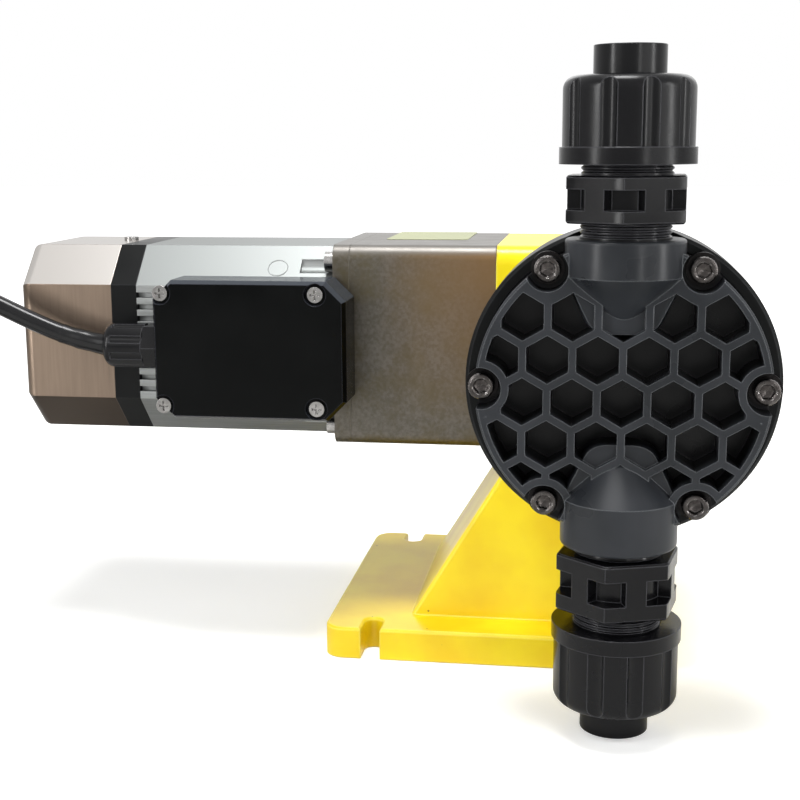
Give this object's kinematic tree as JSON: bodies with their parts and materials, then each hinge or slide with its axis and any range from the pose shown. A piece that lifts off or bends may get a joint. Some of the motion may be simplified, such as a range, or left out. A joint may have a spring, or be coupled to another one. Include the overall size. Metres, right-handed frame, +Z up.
{
  "type": "diaphragm metering pump",
  "caption": "Motor-driven diaphragm metering pump: gear motor, cam housing on a slotted foot, round honeycomb head with ball check valves above and below.",
  "frame": {"origin": "centre of the foot plate's underside", "axes": "+X along the gear motor towards the pump-head side, +Y from the pump head back to the stroke knob, +Z up"},
  "size_m": [0.4704, 0.2566, 0.258],
  "materials": {
    "yellow_enamel": "glossy enamel on cast iron",
    "gearbox_aluminium": "fine machined",
    "motor_aluminium": "extruded, lightly polished",
    "cover_stainless": "satin brushed",
    "black_paint": "semi-gloss black",
    "grey_pvc": "moulded dark grey PVC",
    "black_nylon": "moulded black, glossy",
    "black_bakelite": "moulded black, glossy",
    "stainless_screws": "bright",
    "machined_steel": "ground",
    "spring_steel": "drawn wire",
    "laminated_steel": "stacked laminations",
    "copper_wire": "varnished winding",
    "bronze": "sintered",
    "satin_aluminium": "satin anodised",
    "diaphragm_rubber": "fabric-backed elastomer",
    "white_ptfe": "turned PTFE",
    "white_ceramic": "polished",
    "cord_pvc": "glossy black sheath",
    "plug_rubber": "moulded",
    "pin_brass": "stamped"
  },
  "bodies": {
    "frame": {"adapter_screws": "stainless_screws", "adjuster_bush": "satin_aluminium", "backing_plate": "black_paint", "base_stand": "yellow_enamel", "diaphragm": "diaphragm_rubber", "discharge_seat": "white_ptfe", "discharge_spigot": "grey_pvc", "discharge_union_nut": "black_nylon", "discharge_valve_body": "black_nylon", "drive_housing": "yellow_enamel", "fan_cover": "cover_stainless", "fan_cover_screws": "stainless_screws", "gearbox_case": "gearbox_aluminium", "gearbox_screws": "stainless_screws", "gland_body": "black_nylon", "gland_nut": "black_nylon", "head_adapter": "yellow_enamel", "head_bolts": "stainless_screws", "head_nuts": "stainless_screws", "head_washers": "stainless_screws", "motor_bearings": "machined_steel", "motor_body": "motor_aluminium", "motor_flange": "gearbox_aluminium", "output_bearings": "machined_steel", "plug_body": "plug_rubber", "plug_pins": "pin_brass", "power_cord": "cord_pvc", "power_cord_coil": "cord_pvc", "power_cord_tail": "cord_pvc", "pump_head": "grey_pvc", "rear_bell": "black_paint", "return_spring": "spring_steel", "rod_bush": "bronze", "side_cover": "yellow_enamel", "side_cover_screws": "stainless_screws", "stator_core": "laminated_steel", "stator_windings": "copper_wire", "suction_seat": "white_ptfe", "suction_spigot": "grey_pvc", "suction_union_nut": "black_nylon", "suction_valve_body": "black_nylon", "terminal_block": "black_bakelite", "terminal_box": "black_bakelite", "terminal_lid": "black_bakelite", "terminal_lid_screws": "stainless_screws"},
    "rotor": {"rotor_shaft": "machined_steel", "rotor_core": "laminated_steel", "cooling_fan": "black_nylon"},
    "idler": {"idler_shaft": "machined_steel", "idler_gear": "machined_steel"},
    "output": {"output_shaft": "machined_steel", "output_gear": "machined_steel", "eccentric": "machined_steel", "eccentric_bearing": "machined_steel"},
    "plunger": {"push_rod": "machined_steel", "diaphragm_insert": "machined_steel"},
    "stroke_knob": {"adjuster_knob": "black_nylon"},
    "stroke_spindle": {"adjuster_spindle": "machined_steel"},
    "discharge_check": {"discharge_ball": "white_ceramic"},
    "suction_check": {"suction_ball": "white_ceramic"}
  },
  "joints": [
    {"name": "motor_spin", "type": "hinge", "parent": "frame", "child": "rotor", "pos_m": [-0.166, 0, 0.135], "axis": [1, 0, 0], "continuous": true},
    {"name": "idler_spin", "type": "hinge", "parent": "frame", "child": "idler", "pos_m": [-0.063, -0.01697, 0.11803], "axis": [1, 0, 0], "continuous": true},
    {"name": "output_spin", "type": "hinge", "parent": "frame", "child": "output", "pos_m": [0, 0, 0.135], "axis": [1, 0, 0], "continuous": true},
    {"name": "push_rod_slide", "type": "slide", "parent": "frame", "child": "plunger", "axis": [0, -1, 0], "range_m": [0, 0.006], "stiffness_N_per_m": 2000, "springref_m": -0.004, "deforming": ["return_spring", "diaphragm"]},
    {"name": "knob_turn", "type": "hinge", "parent": "frame", "child": "stroke_knob", "pos_m": [0.052, 0.045, 0.135], "axis": [0, 1, 0], "range_deg": [0, 1440]},
    {"name": "spindle_travel", "type": "slide", "parent": "frame", "child": "stroke_spindle", "axis": [0, -1, 0], "range_m": [0, 0.006]},
    {"name": "discharge_ball_lift", "type": "slide", "parent": "frame", "child": "discharge_check", "axis": [0, 0, 1], "range_m": [0, 0.003]},
    {"name": "suction_ball_lift", "type": "slide", "parent": "frame", "child": "suction_check", "axis": [0, 0, 1], "range_m": [0, 0.003]}
  ],
  "couplings": [
    {"joint": "idler_spin", "follows": "motor_spin", "ratio": -0.25},
    {"joint": "output_spin", "follows": "motor_spin", "ratio": 0.0625},
    {"joint": "spindle_travel", "follows": "knob_turn", "m_per_rad": 0.00023873}
  ]
}
